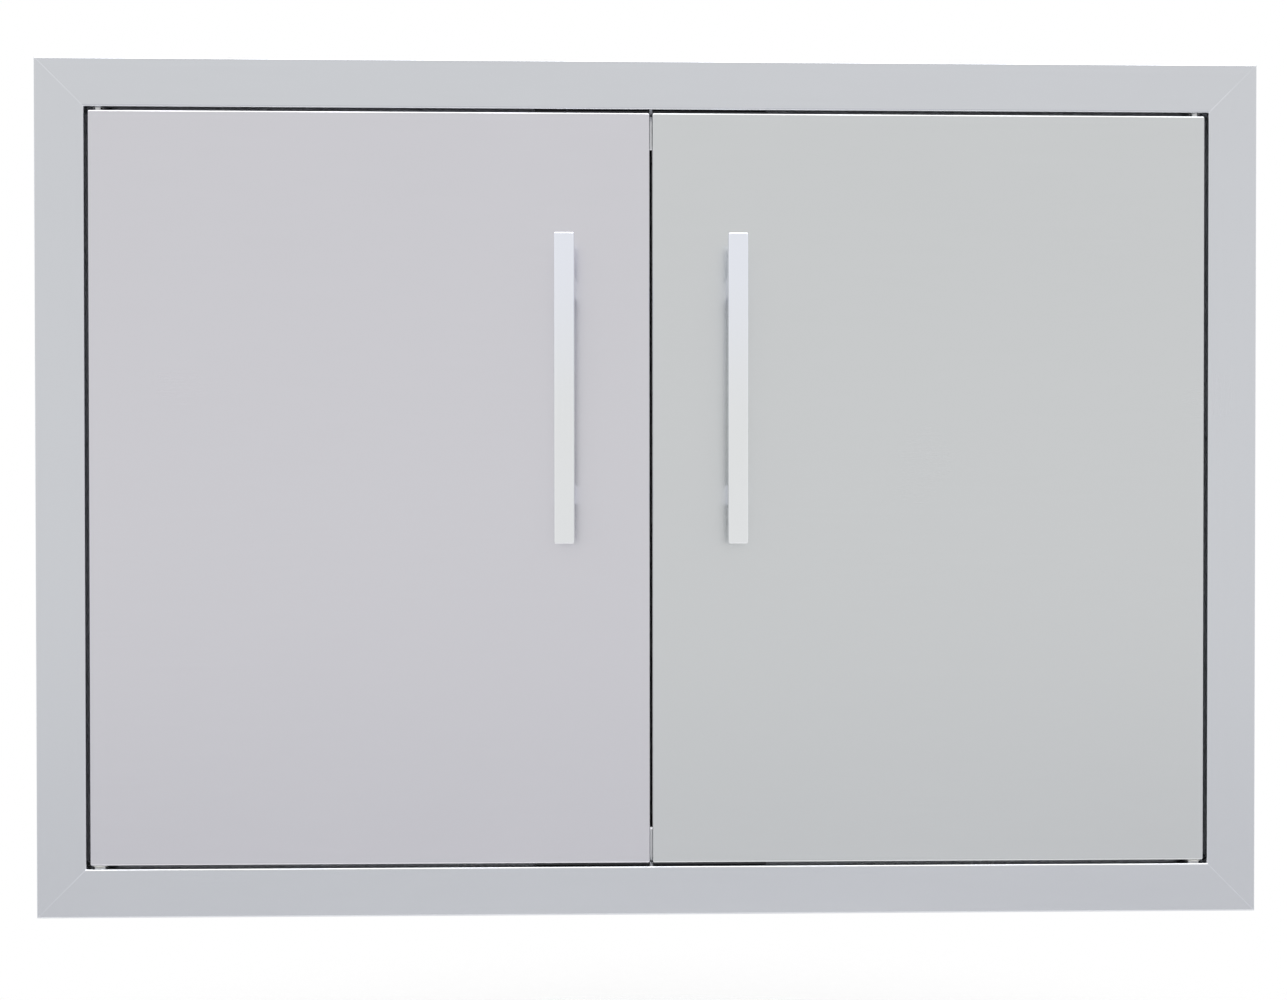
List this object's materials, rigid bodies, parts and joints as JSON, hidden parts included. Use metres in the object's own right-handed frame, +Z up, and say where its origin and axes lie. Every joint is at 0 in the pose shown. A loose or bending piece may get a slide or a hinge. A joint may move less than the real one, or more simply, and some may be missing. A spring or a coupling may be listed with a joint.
{
  "type": "access door",
  "caption": "Flush-fitting stainless double access door for an outdoor kitchen island: folded frame, hinged leaves on sliding pins, square bar pulls, magnetic closing.",
  "frame": {"origin": "centre of the wall cut-out, in the plane of the wall's face, which is the back of the frame's lip", "axes": "+X to the right seen from the front, +Y from the viewer into the wall, +Z up"},
  "size_m": [0.762, 0.103, 0.5334],
  "materials": {
    "frame_sheet": "satin",
    "stop_sheet": "satin",
    "door_sheet": "satin",
    "liner_sheet": "satin",
    "handle_steel": "polished",
    "bracket_steel": "mill",
    "fastener_steel": "bright",
    "spring_wire": "bright",
    "magnet": "matt",
    "bush_plastic": "natural",
    "black_plastic": "matt",
    "bumper_rubber": "matt"
  },
  "bodies": {
    "frame": {"frame_right_stile": "frame_sheet", "frame_left_stile": "frame_sheet", "frame_top_rail": "frame_sheet", "frame_bottom_rail": "frame_sheet", "stop_right_stile": "stop_sheet", "stop_left_stile": "stop_sheet", "stop_top_rail": "stop_sheet", "stop_bottom_rail": "stop_sheet", "magnet_strike_plates": "bracket_steel", "door_bumpers": "bumper_rubber", "right_upper_pivot_plate": "bracket_steel", "right_lower_pivot_plate": "bracket_steel", "right_upper_pivot_bush": "bush_plastic", "right_lower_pivot_pin": "fastener_steel", "right_thrust_washer": "fastener_steel", "left_upper_pivot_plate": "bracket_steel", "left_lower_pivot_plate": "bracket_steel", "left_upper_pivot_bush": "bush_plastic", "left_lower_pivot_pin": "fastener_steel", "left_thrust_washer": "fastener_steel"},
    "left_door": {"left_door_skin": "door_sheet", "left_door_liner": "liner_sheet", "left_handle_bar": "handle_steel", "left_handle_posts": "handle_steel", "left_handle_washers": "fastener_steel", "left_handle_screws": "fastener_steel", "left_access_plugs": "black_plastic", "left_upper_hinge_bracket": "bracket_steel", "left_lower_hinge_bracket": "bracket_steel", "left_lower_hinge_bush": "bush_plastic", "left_top_magnet_strip": "black_plastic", "left_bottom_magnet_strip": "black_plastic", "left_door_magnets": "magnet", "left_pin_spring": "spring_wire"},
    "left_hinge_pin": {"left_hinge_pin": "fastener_steel", "left_release_lever": "fastener_steel", "left_release_knob": "black_plastic"},
    "right_door": {"right_door_skin": "door_sheet", "right_door_liner": "liner_sheet", "right_handle_bar": "handle_steel", "right_handle_posts": "handle_steel", "right_handle_washers": "fastener_steel", "right_handle_screws": "fastener_steel", "right_access_plugs": "black_plastic", "right_upper_hinge_bracket": "bracket_steel", "right_lower_hinge_bracket": "bracket_steel", "right_lower_hinge_bush": "bush_plastic", "right_top_magnet_strip": "black_plastic", "right_bottom_magnet_strip": "black_plastic", "right_door_magnets": "magnet", "right_pin_spring": "spring_wire"},
    "right_hinge_pin": {"right_hinge_pin": "fastener_steel", "right_release_lever": "fastener_steel", "right_release_knob": "black_plastic"}
  },
  "joints": [
    {"name": "left_door_hinge", "type": "hinge", "parent": "frame", "child": "left_door", "pos_m": [-0.3429, -0.014, 0], "axis": [0, 0, -1], "range_deg": [0, 110]},
    {"name": "left_pin_release", "type": "slide", "parent": "left_door", "child": "left_hinge_pin", "axis": [0, 0, -1], "range_m": [0, 0.0069], "stiffness_N_per_m": 500, "springref_m": -0.008, "deforming": ["left_pin_spring"]},
    {"name": "right_door_hinge", "type": "hinge", "parent": "frame", "child": "right_door", "pos_m": [0.3429, -0.014, 0], "axis": [0, 0, 1], "range_deg": [0, 110]},
    {"name": "right_pin_release", "type": "slide", "parent": "right_door", "child": "right_hinge_pin", "axis": [0, 0, -1], "range_m": [0, 0.0069], "stiffness_N_per_m": 500, "springref_m": -0.008, "deforming": ["right_pin_spring"]}
  ]
}
